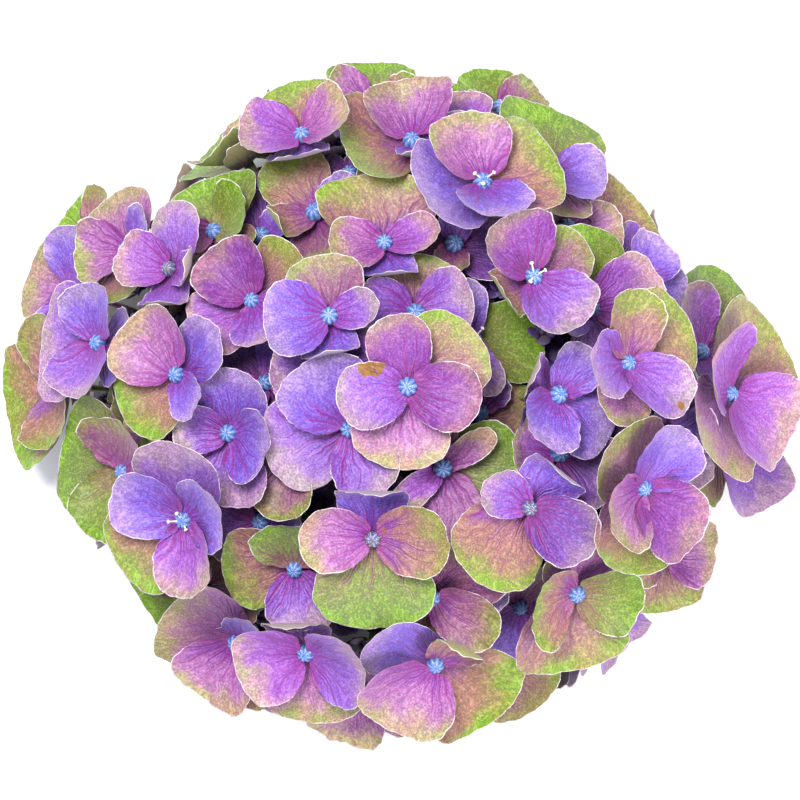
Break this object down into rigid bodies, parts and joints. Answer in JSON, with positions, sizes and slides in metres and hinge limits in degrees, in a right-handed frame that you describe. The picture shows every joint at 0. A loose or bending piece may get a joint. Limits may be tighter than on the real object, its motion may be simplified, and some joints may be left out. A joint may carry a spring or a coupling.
{
  "type": "cut hydrangea mophead bloom",
  "caption": "Cut mophead hydrangea bloom lying face up, with violet, pink and olive-green florets on branching stalks above a short stem.",
  "frame": {"origin": "centre of the flat cut under the short stem, on the surface that the bloom lies on", "axes": "+Z up through the middle of the head, +X to the right and +Y up in the picture, which looks straight down on it"},
  "size_m": [0.2135, 0.1839, 0.091],
  "materials": {
    "violet": "soft matte sepal",
    "pink": "soft matte sepal",
    "olive": "soft matte sepal",
    "green": "soft matte sepal",
    "stem": "smooth green stalk"
  },
  "bodies": {
    "root": {"stem": "stem", "central_ray": "stem", "side_ray_1": "stem", "side_ray_2": "stem", "side_ray_3": "stem", "side_ray_4": "stem", "crown_1": "pink", "crown_2": "pink", "crown_3": "pink", "crown_4": "violet", "crown_5": "green", "crown_6": "violet", "crown_7": "violet", "crown_8": "violet", "crown_9": "green", "shoulder_1": "pink", "shoulder_2": "pink", "shoulder_3": "olive", "shoulder_4": "violet", "shoulder_5": "pink", "shoulder_6": "violet", "shoulder_7": "olive", "shoulder_8": "olive", "shoulder_9": "violet", "shoulder_10": "violet", "shoulder_11": "olive", "shoulder_12": "green", "shoulder_13": "olive", "shoulder_14": "pink", "shoulder_15": "olive", "shoulder_16": "pink", "shoulder_17": "olive", "shoulder_18": "olive", "edge_1": "olive", "edge_2": "green", "edge_3": "olive", "edge_4": "olive", "edge_5": "pink", "edge_6": "pink", "edge_7": "green", "edge_8": "pink", "edge_9": "olive", "edge_10": "pink", "edge_11": "pink", "edge_12": "violet", "edge_13": "violet", "edge_14": "pink", "edge_15": "green", "edge_16": "olive", "edge_17": "olive", "edge_18": "violet", "edge_19": "olive", "edge_20": "olive", "edge_21": "green", "edge_22": "olive", "under_1": "olive", "under_2": "violet", "under_3": "green", "under_4": "olive", "under_5": "violet"}
  },
  "joints": []
}
